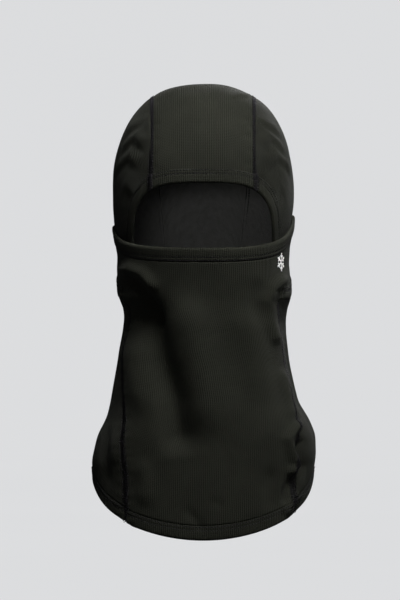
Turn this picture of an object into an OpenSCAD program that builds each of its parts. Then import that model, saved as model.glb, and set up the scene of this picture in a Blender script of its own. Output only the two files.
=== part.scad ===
// Hinged ski balaclava: a hood, a pull-down mask and a neck drape, shown as it hangs when worn.
// The face looks along -Y, +Z is up, +X is the wearer's left. The origin is the centre of the head.

/* [Hood] */
// Width of the hood across the temples
hood_width = 159; // [156:1:160]
// Depth of the hood from the brow to the back of the head
hood_depth = 196; // [190:1:200]
// Height of the crown above the centre of the head
crown_height = 100; // [95:1:105]
// Distance of the jaw edge of the hood below the centre of the head
jaw_drop = 93; // [90:1:93]
// Width of the crown panel between its two seams
crown_panel_width = 92; // [80:1:96]
// Width of the crown panel at the nape
nape_panel_width = 66; // [50:1:80]

/* [Face opening] */
// Width of the face opening
opening_width = 124; // [110:1:126]
// Height of the top of the face opening above the centre of the head
brow_height = 12; // [8:1:16]

/* [Mask] */
// Height of the mask's top edge below the centre of the head, at the nose
nose_drop = 47; // [44:1:50]
// Rise of the mask's top edge from the nose to the ears
mask_rise = 25; // [15:1:28]
// Distance of the nose bridge of the mask in front of the centre of the head
nose_reach = 107; // [105:1:108]
// Distance of the wing ends behind the centre of the head
wing_reach = 25; // [20:1:28]
// Clearance between the hood and the mask over it
layer_gap = 1.4; // [1.2:0.1:1.8]

/* [Neck drape] */
// Width of the neck drape below the jaw
neck_width = 158; // [157:1:160]
// Width of the neck drape over the shoulders
drape_width = 200; // [190:1:210]
// Height at which the drape is widest, below the centre of the head
shoulder_drop = 235; // [225:1:245]
// Drop of the front hem below the shoulder points
bib_drop = 71; // [60:1:80]
// Drop of the back hem below the shoulder points
back_drop = 58; // [50:1:70]

/* [Cloth] */
// Thickness of one layer of the brushed knit
cloth = 1.2; // [1:0.1:1.4]
// Width of the turned hems
hem_width = 12.5; // [10:0.5:15]
// Width of the flatlock seams
seam_width = 4.4; // [3:0.2:6]

/* [Hidden] */

cloth_colour = "#2b2c27";
side_colour = "#242520";
thread_colour = "#17161a";
print_colour = "#f2f2ef";

// Roundness of every level section: 2 is an ellipse, more is fuller at the corners
fullness = 2.4;
// Roundness of the face opening's arch
arch_fullness = 4;
// How far below the centre the cheeks and the nape would close to a point
cheek_reach = 190;
nape_reach = 140;

half_hood = hood_width / 2;
half_depth = hood_depth / 2;
half_opening = opening_width / 2;
half_neck = neck_width / 2;
half_drape = drape_width / 2;

// How far a turned hem, a flatlock seam and a thread stand out, and how wide a thread is
hem_over = 0.8;
seam_over = 0.6;
thread = 0.5;
thread_width = 0.8;
// The two rows of thread along a hem, measured from its folded edge
stitch_rows = [hem_width - 4.5, hem_width - 1.5];
// Play between pieces that are sewn together
tiny = 0.15;

// Gap between the edges of the hood, the mask and the neck drape, where they turn on each other
edge_gap = 3;
jaw_z = -jaw_drop;
mask_low_z = jaw_z - 1;
neck_top_z = jaw_z - edge_gap;

function mix(a, b, t) = a + (b - a) * t;
function ease(t) = let (c = min(max(t, 0), 1)) c * c * (3 - 2 * c);
function unit(v) = v / norm(v);
// Angle in degrees that a short length takes up at a distance from the centre
function turn(length, distance) = length / distance * 180 / PI;

// Fraction of the full width that is left at a fraction v of the full height
function rounded(v, power = fullness) = pow(1 - pow(min(abs(v), 1), power), 1 / power);

// One term of the slope of a rounded section
function slope(v, half) = sign(v) * pow(abs(v) / half, fullness - 1) / half;

// Half width, front depth and back depth of each layer at a height z
function hood_size(z) = let (
        k = rounded(z > 0 ? z / crown_height : z / cheek_reach),
        kb = z > 0 ? k : rounded(z / nape_reach)
    ) [half_hood * k, half_depth * k, half_depth * kb];

// The mask leans back by this much for each millimetre below the nose
nose_slope = 0.15;
function mask_size(z) = [
        hood_size(z)[0] + cloth + layer_gap,
        nose_reach + (z + nose_drop) * nose_slope,
        half_depth
    ];

// The drape is a little narrower at the waist, between the jaw and the shoulders
waist_z = -140;
waist_pinch = 2.5;
half_waist = half_neck - waist_pinch;
// Front and back depth of the drape at the jaw, the chest, the nape and the shoulders
chin_depth = 104;
chest_depth = 99;
jaw_depth = 82;
nape_z = -125;
nape_depth = 75;
shoulder_depth = 97;
function neck_size(z) = [
        half_neck - waist_pinch * ease((neck_top_z - z) / 20)
            + (half_drape - half_waist) * pow(ease((waist_z - z) / (shoulder_drop + waist_z)), 1.2),
        mix(chin_depth, chest_depth, ease((neck_top_z - z) / 60)),
        z > nape_z
            ? mix(nape_depth, jaw_depth, ease((z - nape_z) / (neck_top_z - nape_z)))
            : mix(nape_depth, shoulder_depth, ease((nape_z - z) / (shoulder_drop + nape_z)))
    ];

// Point of a level section in the direction phi, which turns from the front towards +X
function ring(phi, size, z) = let (
        depth = cos(phi) > 0 ? size[1] : size[2],
        r = pow(pow(abs(sin(phi)) / size[0], fullness) + pow(abs(cos(phi)) / depth, fullness), -1 / fullness)
    ) [r * sin(phi), -r * cos(phi), z];

// Moves a point of a layer outwards by a distance, along the slope of the surface
function lift(p, size, top, out) = let (
        depth = p.y < 0 ? size[1] : size[2],
        rise = top > 0 && p.z > 0 ? slope(p.z, top) : 0
    ) p + out * unit([slope(p.x, size[0]), slope(p.y, depth), rise]);

function hood_lift(p, out) = p.z > 0
    ? lift(p, hood_size(0), crown_height, out)
    : lift(p, hood_size(p.z), 0, out);
function mask_lift(p, out) = lift(p, mask_size(p.z), 0, out);
function neck_lift(p, out) = lift(p, neck_size(p.z), 0, out);

// Point of the front of the hood that is seen at x and z from the front
function hood_front(x, z) = let (s = hood_size(z)) [x, -s[1] * rounded(x / s[0]), z];

// Direction of the point of a layer that is seen at x from the front
function phi_at(x, size) = atan2(x, size[1] * rounded(x / size[0]));

// A closed solid between an inner face, k = 0, and an outer face, k = 1.
// u runs to the right and v upwards, seen from outside.
module shell(skin, nu, nv) {
    count = (nu + 1) * (nv + 1);
    points = [for (k = [1, 0], i = [0:nu], j = [0:nv]) skin(i / nu, j / nv, k)];
    function at(i, j, k) = (1 - k) * count + i * (nv + 1) + j;
    faces = [
        for (i = [0:nu - 1], j = [0:nv - 1]) each [
            [at(i, j, 1), at(i, j + 1, 1), at(i + 1, j + 1, 1)],
            [at(i, j, 1), at(i + 1, j + 1, 1), at(i + 1, j, 1)],
            [at(i, j, 0), at(i + 1, j + 1, 0), at(i, j + 1, 0)],
            [at(i, j, 0), at(i + 1, j, 0), at(i + 1, j + 1, 0)]
        ],
        for (i = [0:nu - 1]) each [
            [at(i, 0, 0), at(i, 0, 1), at(i + 1, 0, 1)],
            [at(i, 0, 0), at(i + 1, 0, 1), at(i + 1, 0, 0)],
            [at(i, nv, 1), at(i, nv, 0), at(i + 1, nv, 0)],
            [at(i, nv, 1), at(i + 1, nv, 0), at(i + 1, nv, 1)]
        ],
        for (j = [0:nv - 1]) each [
            [at(0, j, 0), at(0, j + 1, 0), at(0, j + 1, 1)],
            [at(0, j, 0), at(0, j + 1, 1), at(0, j, 1)],
            [at(nu, j, 1), at(nu, j + 1, 1), at(nu, j + 1, 0)],
            [at(nu, j, 1), at(nu, j + 1, 0), at(nu, j, 0)]
        ]
    ];
    polyhedron(points, faces, convexity = 6);
}

// ---------- hood ----------

arch_foot_z = -nose_drop;
hem_side = 7;

// Height of the face opening's arch at x, where grow 0 is the edge and 1 the inner end of the hem
function arch_z(x, grow) = arch_foot_z
    + (brow_height - arch_foot_z + hem_width * grow)
        * rounded(x / (half_opening + hem_side * grow), arch_fullness);

// Half width of the crown panel along its length, v = 0 at the brow and 1 at the nape
function crown_half(v) = mix(crown_panel_width, nape_panel_width, ease((v - 0.45) / 0.55)) / 2;

// Part of the crown panel's length that lies above the centre of the head
over_part = 0.72;

// Point of the crown at x, and at v along the panel from the brow to the nape
function crown_point(x, v, grow) = let (
        m = rounded(x / half_hood),
        start = asin(pow(arch_z(x, grow) / (crown_height * m), fullness / 2)),
        a = mix(start, 180, min(v / over_part, 1)),
        low = max(v - over_part, 0) / (1 - over_part) * jaw_z,
        s = hood_size(low)
    )
    v < over_part
        ? [x, -sign(cos(a)) * half_depth * m * pow(abs(cos(a)), 2 / fullness),
           crown_height * m * pow(sin(a), 2 / fullness)]
        : [x, s[2] * rounded(x / s[0]), low];

module crown_panel() {
    color(cloth_colour)
        shell(function (u, v, k)
            let (x = (2 * u - 1) * (crown_half(v) - tiny))
            hood_lift(crown_point(x, v, 1), -cloth * (1 - k)), 12, 34);
}

// Lower edge of a side panel: down the face opening's hem, then back along the jaw to the nape
front_part = 0.36;
// Part of the way down the hem that follows the arch, before the edge runs straight down to the jaw
arch_part = 0.62;
arch_end_z = arch_foot_z + 12;
function side_foot(u) = let (
        t = u / front_part,
        x = mix(crown_panel_width / 2 + 1, half_opening + hem_side, ease(t / arch_part)),
        z = t < arch_part
            ? arch_z(min(x, half_opening + hem_side - 0.05), 1)
            : mix(arch_end_z, jaw_z, (t - arch_part) / (1 - arch_part)),
        s = hood_size(jaw_z),
        phi_front = phi_at(half_opening + hem_side, s),
        phi_back = 180 - atan2(nape_panel_width / 2 + 1, s[2] * rounded(nape_panel_width / 2 / s[0]))
    )
    u < front_part
        ? hood_front(x, z)
        : ring(mix(phi_front, phi_back, (u - front_part) / (1 - front_part)), s, jaw_z);

// Point of a side panel between its lower edge, v = 0, and the crown seam, v = 1
function side_point(u, v) = let (
        foot = side_foot(u),
        seam = crown_point(crown_half(u) + tiny, u, 1),
        t = 1 - pow(1 - v, 1.5),
        phi = mix(atan2(foot.x, -foot.y), atan2(seam.x, -seam.y), t),
        z = mix(foot.z, seam.z, t)
    ) ring(phi, hood_size(z), z);

module hood_side() {
    color(side_colour)
        shell(function (u, v, k) hood_lift(side_point(u, v), -cloth * (1 - k)), 30, 12);
}

// The flatlock seam beside the crown panel, which crosses the stitches of the opening's hem
crossing = 0.06;
module crown_seam() {
    color(thread_colour)
        shell(function (u, v, k)
            let (
                x = crown_half(v) + (u - 0.5) * seam_width,
                under = v < crossing ? thread + 3 * tiny : tiny
            )
            hood_lift(crown_point(x, v, 0), under + seam_over * k), 2, 36);
}

// Point of the face opening's hem: u from one jaw end over the brow to the other, v out from the edge
function opening_point(u, v) = let (
        leg = 0.18,
        turn = min(max((u - leg) / (1 - 2 * leg), 0), 1) * 180,
        low = max(leg - u, u - 1 + leg, 0) / leg,
        x = -sign(cos(turn)) * (half_opening + hem_side * v) * pow(abs(cos(turn)), 2 / arch_fullness),
        z = arch_foot_z + (brow_height - arch_foot_z + hem_width * v) * pow(sin(turn), 2 / arch_fullness)
            + low * (jaw_z - arch_foot_z)
    ) hood_front(x, z);

module opening_hem() {
    color(cloth_colour)
        shell(function (u, v, k) hood_lift(opening_point(u, v * 0.95), -cloth * (1 - k)), 56, 2);
}

module opening_coverstitch() {
    color(thread_colour)
        for (row = stitch_rows)
            shell(function (u, v, k)
                hood_lift(opening_point(u, (row + thread_width * v) / hem_width), tiny + thread * k), 56, 1);
}

// ---------- mask ----------

wing_phi = 90 + atan2(wing_reach, half_hood);
wing_rear_rise = 16;
function mask_top(phi) = -nose_drop + mask_rise * pow(1 - cos(min(abs(phi), 90)), 1.3);
function mask_foot(phi) = mask_low_z + wing_rear_rise * ease((abs(phi) - 60) / (wing_phi - 60));

// Point of the mask: u across from wing end to wing end, v from the lower edge to the top edge
function mask_point(u, v) = let (
        phi = (2 * u - 1) * wing_phi,
        z = mix(mask_foot(phi), mask_top(phi), v)
    ) ring(phi, mask_size(z), z);

// The same, measured down from the top edge or up from the lower edge in millimetres
function mask_below_top(u, drop) = let (phi = (2 * u - 1) * wing_phi)
    mask_point(u, 1 - drop / (mask_top(phi) - mask_foot(phi)));
function mask_above_foot(u, rise) = let (phi = (2 * u - 1) * wing_phi)
    mask_point(u, rise / (mask_top(phi) - mask_foot(phi)));

// The lower hem of a wing starts at this part of the mask's half width
wing_start = 0.62;
function wing_u(u) = 0.5 + mix(wing_start, 1, u) / 2;

module mask_panel() {
    color(cloth_colour)
        shell(function (u, v, k)
            let (phi = (2 * u - 1) * wing_phi, tall = mask_top(phi) - mask_foot(phi))
            mask_lift(mask_point(u, v * (1 - (hem_width + tiny) / tall)), -cloth * (1 - k)), 40, 7);
}

module mask_top_hem() {
    color(cloth_colour)
        shell(function (u, v, k)
            mask_lift(mask_below_top(u, hem_width * (1 - v)), mix(-cloth, hem_over, k)), 40, 2);
}

module mask_coverstitch() {
    color(thread_colour)
        for (row = stitch_rows)
            shell(function (u, v, k)
                mask_lift(mask_below_top(mix(0.01, 0.99, u), row + thread_width * (1 - v)),
                    hem_over + tiny + thread * k), 40, 1);
}

// A wing's lower hem, doubled on the outside
module wing_hem() {
    color(cloth_colour)
        shell(function (u, v, k)
            mask_lift(mask_above_foot(wing_u(u), hem_width * v), tiny + hem_over * k), 12, 2);
}

module wing_coverstitch() {
    color(thread_colour)
        for (row = stitch_rows)
            shell(function (u, v, k)
                mask_lift(mask_above_foot(wing_u(mix(0.03, 0.95, u)), row + thread_width * v),
                    hem_over + 2 * tiny + thread * k), 12, 1);
}

// A dense bar of thread that closes the end of a wing, level with the mask's turning axis
tack_height = 12;
tack_z = -52;
module bar_tack() {
    color(thread_colour)
        shell(function (u, v, k)
            let (
                z = tack_z + (v - 0.5) * tack_height,
                phi = 90 + atan2(wing_reach - 5 + 3 * u, half_hood)
            )
            mask_lift(ring(phi, mask_size(z), z), tiny + seam_over * k), 1, 3);
}

// A plain six-armed snowflake, printed on the wearer's left cheek
print_x = 69;
print_z = -64;
arm_start = 1.6;
arm_length = 7.5;
arm_width = 1.5;
print_over = 0.3;
function print_point(along, across, arm) = let (
        centre = phi_at(print_x, mask_size(print_z)),
        z = print_z + along * sin(arm) + across * cos(arm),
        aside = turn(along * cos(arm) - across * sin(arm), norm(ring(centre, mask_size(z), 0)))
    ) ring(centre + aside, mask_size(z), z);

module cheek_print() {
    color(print_colour)
        for (arm = [0:5])
            shell(function (u, v, k)
                mask_lift(print_point(mix(arm_start, arm_length, u), (v - 0.5) * arm_width, 60 * arm + 30),
                    tiny + print_over * k), 3, 1);
}

// ---------- neck drape ----------

// Direction of the side seams under the jaw and over the shoulders
seam_top_phi = 60;
seam_foot_phi = 44;
function seam_phi(z) = mix(seam_top_phi, seam_foot_phi,
    min((neck_top_z - z) / (shoulder_drop + neck_top_z), 1));

// Height of the bottom edge in the direction phi: low at the front and back, high over the shoulders
hem_softness = 0.08;
function hem_z(phi) = -shoulder_drop
    - mix(back_drop, bib_drop, ease(cos(phi) + 0.5)) * sqrt(mix(pow(cos(phi), 2), 1, hem_softness));

// Point of the drape at a part t of the way down from the jaw edge, with u across the front panel
// from seam to seam, or, beyond 1, across the back panel from seam to seam
function drape_point(u, t) = let (
        guess = mix(neck_top_z, hem_z(seam_phi(-shoulder_drop)), t),
        edge = seam_phi(guess),
        phi = u <= 1 ? (2 * u - 1) * edge : mix(edge, 360 - edge, u - 1),
        z = mix(neck_top_z, hem_z(phi), t)
    ) ring(phi, neck_size(z), z);

// Part of the drape's height that the bottom hem takes, and a millimetre of height as a part of it
drape_tall = shoulder_drop + bib_drop + neck_top_z;
hem_part = hem_width / drape_tall;
mm = 1 / drape_tall;

module drape_panel(from, to, nu) {
    shell(function (u, v, k)
        neck_lift(drape_point(mix(from, to, u), (1 - v) * (1 - hem_part - tiny * mm)),
            -cloth * (1 - k)), nu, 15);
}

module bottom_hem(from, to, nu) {
    shell(function (u, v, k)
        neck_lift(drape_point(mix(from, to, u), 1 - hem_part * v), mix(-cloth, hem_over, k)), nu, 1);
}

panel_edge = 0.002;
module front_panel() {
    color(cloth_colour) drape_panel(panel_edge, 1 - panel_edge, 18);
}

module back_panel() {
    color(side_colour) drape_panel(1 + panel_edge, 2 - panel_edge, 34);
}

module bottom_hem_front() {
    color(cloth_colour) bottom_hem(panel_edge, 1 - panel_edge, 18);
}

module bottom_hem_back() {
    color(side_colour) bottom_hem(1 + panel_edge, 2 - panel_edge, 34);
}

// The flatlock seam over a side joint of the drape, from under the jaw to the bottom edge
module side_seam() {
    color(thread_colour)
        shell(function (u, v, k)
            let (
                t = mix(1 - hem_part, 0.01, v),
                p = drape_point(1, t),
                s = neck_size(p.z),
                phi = atan2(p.x, -p.y) + turn((u - 0.5) * seam_width, norm([p.x, p.y]))
            )
            neck_lift(ring(phi, s, p.z), 3 * tiny + seam_over * k), 2, 22);
}

nape_half_phi = 62;
module nape_seam() {
    color(thread_colour)
        shell(function (u, v, k)
            let (phi = 180 + (2 * u - 1) * nape_half_phi, z = neck_top_z - 2 * tiny - seam_width * (1 - v))
            neck_lift(ring(phi, neck_size(z), z), tiny + seam_over * k), 24, 1);
}

module bottom_coverstitch() {
    color(thread_colour)
        for (row = stitch_rows)
            for (part = [[0.01, 0.99, 20], [1.005, 1.995, 34]])
                shell(function (u, v, k)
                    neck_lift(drape_point(mix(part[0], part[1], u), 1 - (row + thread_width * v) * mm),
                        hem_over + tiny + thread * k), part[2], 1);
}

// A blank woven label that hangs inside the back of the neck
label_width = 22;
label_length = 32;
label_gap = 0.7;
module care_label() {
    color(print_colour)
        translate([-label_width / 2, nape_depth - cloth - label_gap - thread, nape_z - label_length / 2])
            cube([label_width, thread, label_length]);
}

crown_panel();
hood_side();  // hood_side_left
mirror([1, 0, 0]) hood_side();  // hood_side_right
crown_seam();  // crown_seam_left
mirror([1, 0, 0]) crown_seam();  // crown_seam_right
opening_hem();
opening_coverstitch();
mask_panel();
mask_top_hem();
mask_coverstitch();
wing_hem();  // wing_hem_left
mirror([1, 0, 0]) wing_hem();  // wing_hem_right
wing_coverstitch();  // wing_coverstitch_left
mirror([1, 0, 0]) wing_coverstitch();  // wing_coverstitch_right
bar_tack();  // bar_tack_left
mirror([1, 0, 0]) bar_tack();  // bar_tack_right
cheek_print();
front_panel();
back_panel();
side_seam();  // side_seam_left
mirror([1, 0, 0]) side_seam();  // side_seam_right
nape_seam();
bottom_hem_front();
bottom_hem_back();
bottom_coverstitch();
care_label();
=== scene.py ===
import math

import bpy
import numpy as np
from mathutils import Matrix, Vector


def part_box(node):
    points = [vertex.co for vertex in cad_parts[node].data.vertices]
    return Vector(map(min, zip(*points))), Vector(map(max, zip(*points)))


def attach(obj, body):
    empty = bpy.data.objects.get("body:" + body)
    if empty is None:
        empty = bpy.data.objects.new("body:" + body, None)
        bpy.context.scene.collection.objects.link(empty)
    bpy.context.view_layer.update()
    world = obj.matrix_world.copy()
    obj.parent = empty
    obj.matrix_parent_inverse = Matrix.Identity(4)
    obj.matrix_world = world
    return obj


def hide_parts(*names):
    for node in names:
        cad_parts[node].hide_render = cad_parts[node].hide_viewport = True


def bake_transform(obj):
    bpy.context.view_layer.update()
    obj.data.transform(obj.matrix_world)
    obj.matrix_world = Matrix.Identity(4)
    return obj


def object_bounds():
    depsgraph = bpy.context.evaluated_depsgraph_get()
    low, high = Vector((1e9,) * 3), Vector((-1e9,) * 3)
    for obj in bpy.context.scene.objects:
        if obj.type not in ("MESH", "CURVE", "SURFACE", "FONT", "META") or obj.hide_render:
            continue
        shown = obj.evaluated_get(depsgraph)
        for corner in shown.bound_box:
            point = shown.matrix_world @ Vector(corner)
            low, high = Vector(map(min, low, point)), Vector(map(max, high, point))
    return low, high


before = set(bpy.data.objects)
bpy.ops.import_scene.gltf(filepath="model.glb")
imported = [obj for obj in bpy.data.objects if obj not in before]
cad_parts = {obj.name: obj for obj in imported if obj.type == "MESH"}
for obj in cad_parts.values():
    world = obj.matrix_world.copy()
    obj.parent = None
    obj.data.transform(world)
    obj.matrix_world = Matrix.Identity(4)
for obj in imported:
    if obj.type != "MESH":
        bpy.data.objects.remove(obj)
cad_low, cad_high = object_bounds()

# ---------- driving sizes, in metres, from the frame ----------

MM = 0.001
FULL = 2.4                                  # roundness of every level section
ARCH = 3.5                                  # roundness of the face opening
CLOTH = 1.2 * MM                            # thickness of the knit
HEM = 12.5 * MM                             # width of the hems of the face opening, mask and wings
BOTTOM_HEM = 13 * MM
HEM_STEPS = 16                              # rows of cells across a hem
NEEDLES = (4 * MM, 1 * MM)                  # the two rows of a coverstitch, from the hem's inner edge
EDGE_ROUND = 1.6 * MM                       # rounding of a hem's folded edge
SEAM = 5.0 * MM                             # width of the crown seams and the nape seam
SIDE_SEAM = 6.4 * MM
THREAD_RADIUS = 0.42 * MM
SIDES = ((1, "left"), (-1, "right"))        # the wearer's left is towards +X

HOOD_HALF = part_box("hood_side_left")[1][0]
HOOD_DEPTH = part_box("crown_panel")[1][1]
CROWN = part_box("crown_panel")[1][2]
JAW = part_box("crown_panel")[0][2]
HOOD_FOOT = JAW - 2 * MM                    # lower edge of the hood, inside the collar
BROW = CROWN - 90 * MM                      # top of the face opening
NOSE_REACH = -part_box("mask_panel")[0][1]
MASK_TOP = JAW + 46 * MM                    # top edge of the mask at the nose
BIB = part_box("bottom_hem_front")[0][2]
BACK_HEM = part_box("bottom_hem_back")[0][2]
SHOULDER = BIB + 71 * MM                    # where the bottom edge crosses the shoulders


def ease(t):
    """Smooth step from 0 to 1."""
    c = np.clip(t, 0, 1)
    return c * c * (3 - 2 * c)


def mix(a, b, t):
    """From a at t = 0 to b at t = 1."""
    return a + (b - a) * t


def rounded(v, power=FULL):
    """Share of the full width left at a share v of the full height."""
    return (1 - np.minimum(np.abs(v), 1) ** power) ** (1 / power)


def smooth(z, *stops):
    """A value at the height z, from stops of (height in millimetres, value), highest last."""
    heights, values = zip(*stops)
    fine = np.linspace(heights[0], heights[-1], 400)
    window = np.hanning(33)
    rough = np.pad(np.interp(fine, heights, values), 16, mode="edge")
    return np.interp(z / MM, fine, np.convolve(rough, window / window.sum(), "valid"))


def along(z, *stops):
    """A width in metres at the height z, from stops in millimetres."""
    return smooth(z, *stops) * MM


# ---------- level sections of the three layers: reach towards +X, -X, the front and the back ----------

TEMPLE = 80.5                               # half the hood's width where it is widest, in millimetres
NAPE_CURVE = 140 * MM                       # how far down the back of the hood would close under the head
COLLAR_GAP = 3 * MM                         # room between the back of the hood and the collar
NOSE_SLOPE = 0.15


def hood_size(z):
    """The hood: rounded over the crown, and drawn in at the cheeks and the nape."""
    dome = rounded(np.where(z > 0, z / CROWN, 0))
    cheeks = along(z, (-96, 70), (-60, 72.5), (-42, 75), (-27, 78.5), (-10, TEMPLE), (110, TEMPLE))
    share = np.where(z > 0, dome, cheeks / (TEMPLE * MM))
    back = np.where(z > 0, share, rounded(z / NAPE_CURVE))
    return HOOD_HALF * 1.012 * share, HOOD_HALF * share, HOOD_DEPTH * share, HOOD_DEPTH * back


def mask_size(z):
    """The mask, which leans out towards the nose."""
    right = along(z, (-100, 76.5), (-90, 78.5), (-77, 78), (-60, 76.6), (-45, 77.6), (-28, 81.1),
                  (-10, 82.4))
    left = along(z, (-100, 71.5), (-88, 75.5), (-72, 76.5), (-53, 76), (-40, 78.2), (-28, 80.5), (-10, 82))
    front = NOSE_REACH + (z - MASK_TOP) * NOSE_SLOPE
    return right, left, front, hood_size(z)[3] + COLLAR_GAP


def drape_size(z):
    """The drape: a waist at the neck, and a lobe over each shoulder."""
    right = along(z, (-310, 98), (-248, 98), (-230, 100.5), (-212, 99), (-197, 92), (-183, 83), (-150, 76),
                  (-120, 74.5), (-88, 74.5))
    left = along(z, (-310, 98), (-252, 98), (-235, 99), (-212, 93.5), (-196, 85), (-182, 81.5), (-150, 76),
                 (-125, 72), (-104, 69.5), (-96, 71), (-88, 73))
    front = along(z, (-310, 102), (-235, 99), (-150, 98), (-100, 100), (-90, 101))
    back = along(z, (-310, 98), (-240, 96), (-190, 86), (-150, 77), (-125, 75), (-98, 81.5), (-88, 84.5))
    return right, left, front, back


def ring(phi, size, z):
    """Points of a level section in the direction phi, in degrees from the front towards +X."""
    s, c = np.sin(np.radians(phi)), np.cos(np.radians(phi))
    right, left, front, back = size
    half = np.where(s > 0, right, left)
    depth = np.where(c > 0, front, back)
    r = ((np.abs(s) / half) ** FULL + (np.abs(c) / depth) ** FULL) ** (-1 / FULL)
    return np.stack(np.broadcast_arrays(r * s, -r * c, z), axis=-1)


def phi_at(x, size):
    """Direction of the point of a layer that is seen at x from the front."""
    half = np.where(x > 0, size[0], size[1])
    return np.degrees(np.arctan2(x, size[2] * rounded(x / half)))


# ---------- folds, pressed into a cloth as seen from the front or the side ----------

def fold(p, q, path, width, depth, fade=0.25):
    """A soft ridge, or with a negative depth a valley, along a path of (p, q) points.

    The path, width and depth are in millimetres. The fold fades out over a part fade of each end."""
    path = np.array(path, float) * MM
    steps = np.linalg.norm(np.diff(path, axis=0), axis=1)
    starts = np.concatenate([[0], np.cumsum(steps)])
    best = np.full(np.broadcast(p, q).shape, 1e9)
    place = np.zeros(best.shape)
    for a, b, start, step in zip(path[:-1], path[1:], starts, steps):
        t = np.clip(((p - a[0]) * (b[0] - a[0]) + (q - a[1]) * (b[1] - a[1])) / step ** 2, 0, 1)
        d = np.hypot(p - a[0] - t * (b[0] - a[0]), q - a[1] - t * (b[1] - a[1]))
        place = np.where(d < best, (start + t * step) / starts[-1], place)
        best = np.minimum(best, d)
    ends = ease(place / fade) * ease((1 - place) / fade)
    return depth * MM * ends * np.exp(-(best / (width * MM)) ** 2)


def ripple(p, q, seed, scale, height):
    """Slow unevenness of a hanging cloth, from a few sine waves with fixed random directions."""
    rng = np.random.default_rng(seed)
    total = 0
    for _ in range(7):
        angle = rng.uniform(0, math.pi)
        phase = rng.uniform(0, 2 * math.pi)
        stretch = rng.uniform(0.6, 1.6)
        wave = (p * math.cos(angle) + q * math.sin(angle)) / (scale * MM * stretch)
        total = total + np.sin(2 * math.pi * wave + phase)
    return total / 7 * height * MM


# ---------- meshes ----------

def unit(v):
    """The same directions with length 1."""
    return v / np.maximum(np.linalg.norm(v, axis=-1, keepdims=True), 1e-12)


def normals(points, guide=None):
    """Outward normals of a grid of points; a guide takes over where the grid runs together."""
    n = np.cross(np.gradient(points, axis=0), np.gradient(points, axis=1))
    if guide is None:
        return unit(n)
    size = np.linalg.norm(n, axis=-1, keepdims=True)
    return unit(mix(guide, unit(n), ease(size / (0.6 * np.median(size)))))


def make_mesh(name, vertices, faces, materials, material_index=None, weave=None):
    """A smooth mesh; weave gives each vertex its place on the flat cut of the cloth."""
    mesh = bpy.data.meshes.new(name)
    mesh.from_pydata(vertices.tolist(), [], faces)
    for material in materials:
        mesh.materials.append(material)
    if material_index is not None:
        mesh.polygons.foreach_set("material_index", np.array(material_index, np.int32))
    mesh.polygons.foreach_set("use_smooth", np.ones(len(mesh.polygons), bool))
    if weave is not None:
        attribute = mesh.attributes.new("weave", "FLOAT_VECTOR", "POINT")
        attribute.data.foreach_set("vector", weave.astype(np.float32).ravel())
    mesh.validate()
    mesh.update()
    piece = bpy.data.objects.new(name, mesh)
    bpy.context.scene.collection.objects.link(piece)
    return piece


class Cloth:
    """A cloth laid on a grid of points: its outer face, and its place on the flat cut for the weave."""

    def __init__(self, points, push=0.0, guide=None):
        push = np.broadcast_to(push, points.shape[:2])[..., None]
        self.points = points + normals(points, guide) * push
        self.normals = normals(self.points, guide)
        across = np.linalg.norm(np.diff(self.points, axis=0), axis=-1)
        down = np.linalg.norm(np.diff(self.points, axis=1), axis=-1)
        middle = len(across) // 2
        s = np.concatenate([np.zeros((1, across.shape[1])), np.cumsum(across, axis=0)])
        s = s - s[middle:middle + 1]
        t = np.concatenate([np.zeros((down.shape[0], 1)), np.cumsum(down, axis=1)], axis=1)
        self.flat = np.stack([s, t, np.zeros_like(s)], axis=-1)

    def at(self, u, v):
        """Points and normals at parts u and v of the grid."""
        nu, nv = self.points.shape[0] - 1, self.points.shape[1] - 1
        u, v = np.broadcast_arrays(np.clip(u, 0, 1) * nu, np.clip(v, 0, 1) * nv)
        i = np.minimum(u.astype(int), nu - 1)
        j = np.minimum(v.astype(int), nv - 1)
        a, b = (u - i)[..., None], (v - j)[..., None]

        def look(g):
            return (g[i, j] * (1 - a) * (1 - b) + g[i + 1, j] * a * (1 - b)
                    + g[i, j + 1] * (1 - a) * b + g[i + 1, j + 1] * a * b)

        return look(self.points), unit(look(self.normals))


def shell(name, cloth, outer, inner, keep=None, rows=None, out=0.0, thick=CLOTH):
    """A closed piece of a cloth, cut from the given rows of points and the cells that keep marks.

    Its outer face stands out by out, and its inner face lies in by thick."""
    rows = rows or (0, cloth.points.shape[1])
    cut = slice(*rows)
    points, n, flat = cloth.points[:, cut], cloth.normals[:, cut], cloth.flat[:, cut]
    out = np.broadcast_to(out, points.shape[:2])
    thick = np.broadcast_to(thick, points.shape[:2])
    nu, nv = points.shape[0] - 1, points.shape[1] - 1
    kept = np.ones((nu, nv), bool) if keep is None else keep[:, rows[0]:rows[1] - 1]
    index = -np.ones(points.shape[:2], int)
    for di in (0, 1):
        for dj in (0, 1):
            index[di:nu + di, dj:nv + dj][kept] = 0
    used = index == 0
    index[used] = np.arange(used.sum())
    count = used.sum()
    top = points + n * out[..., None]
    bottom = points - n * thick[..., None]
    i, j = np.nonzero(kept)
    quads = np.stack([index[i, j], index[i + 1, j], index[i + 1, j + 1], index[i, j + 1]], axis=1)
    edges = dict.fromkeys((int(quad[k]), int(quad[(k + 1) % 4])) for k in range(4) for quad in quads)
    border = [(a, b) for a, b in edges if (b, a) not in edges]
    faces = quads.tolist() + (quads[:, ::-1] + count).tolist()
    faces += [[b, a, a + count, b + count] for a, b in border]
    slots = [0] * len(quads) + [1] * len(quads) + [0] * len(border)
    vertices = np.concatenate([top[used], bottom[used]])
    weave = np.concatenate([flat[used], flat[used]])
    return make_mesh(name, vertices, faces, [outer, inner], slots, weave)


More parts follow.
